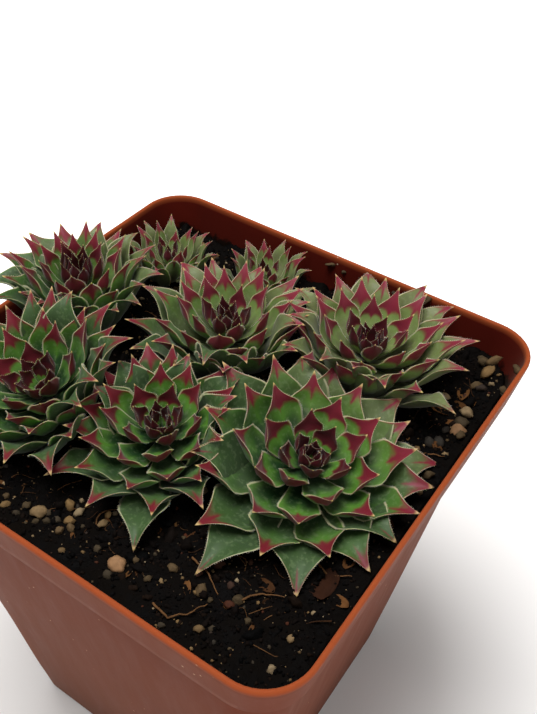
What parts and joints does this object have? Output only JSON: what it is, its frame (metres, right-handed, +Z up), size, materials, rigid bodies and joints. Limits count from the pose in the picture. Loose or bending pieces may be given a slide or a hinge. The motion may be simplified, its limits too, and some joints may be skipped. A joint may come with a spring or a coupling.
{
  "type": "potted succulent",
  "caption": "Clump of houseleek rosettes with red-tipped pointed leaves, growing in dark soil in a square tapered plastic nursery pot.",
  "frame": {"origin": "centre of the pot's flat base, on the surface it stands on", "axes": "+Z up out of the pot's mouth; +X and +Y square to the pot's walls; the picture looks along about (-0.54, +0.84) from above"},
  "size_m": [0.09, 0.09, 0.1034],
  "materials": {
    "pot": "terracotta-coloured injection-moulded plastic, satin, dusty outside",
    "soil": "near-black peat with coarse mineral grit",
    "stem": "short brown stem",
    "leaf": "fleshy green leaf with a waxy bloom, pale margin and crimson tip",
    "heart_leaf": "young leaves closed into a dark crimson heart",
    "pebble": "dusty tan grit",
    "bark": "dry brown bark"
  },
  "bodies": {
    "root": {"pot": "pot", "soil": "soil", "front_stem": "stem", "front_leaf_ring_1": "leaf", "front_leaf_ring_2": "leaf", "front_leaf_ring_3": "leaf", "front_leaf_ring_4": "leaf", "front_leaf_ring_5": "heart_leaf", "near_stem": "stem", "near_leaf_ring_1": "leaf", "near_leaf_ring_2": "leaf", "near_leaf_ring_3": "leaf", "near_leaf_ring_4": "leaf", "near_leaf_ring_5": "heart_leaf", "left_stem": "stem", "left_leaf_ring_1": "leaf", "left_leaf_ring_2": "leaf", "left_leaf_ring_3": "leaf", "left_leaf_ring_4": "leaf", "left_leaf_ring_5": "heart_leaf", "middle_stem": "stem", "middle_leaf_ring_1": "leaf", "middle_leaf_ring_2": "leaf", "middle_leaf_ring_3": "leaf", "middle_leaf_ring_4": "leaf", "middle_leaf_ring_5": "heart_leaf", "right_stem": "stem", "right_leaf_ring_1": "leaf", "right_leaf_ring_2": "leaf", "right_leaf_ring_3": "leaf", "right_leaf_ring_4": "leaf", "right_leaf_ring_5": "heart_leaf", "far_left_stem": "stem", "far_left_leaf_ring_1": "leaf", "far_left_leaf_ring_2": "leaf", "far_left_leaf_ring_3": "leaf", "far_left_leaf_ring_4": "leaf", "far_left_leaf_ring_5": "heart_leaf", "small_left_stem": "stem", "small_left_leaf_ring_1": "leaf", "small_left_leaf_ring_2": "leaf", "small_left_leaf_ring_3": "heart_leaf", "small_back_stem": "stem", "small_back_leaf_ring_1": "leaf", "small_back_leaf_ring_2": "leaf", "small_back_leaf_ring_3": "heart_leaf", "pebble_front": "pebble", "pebble_left": "pebble", "pebble_right": "pebble", "bark_chip": "bark"}
  },
  "joints": []
}
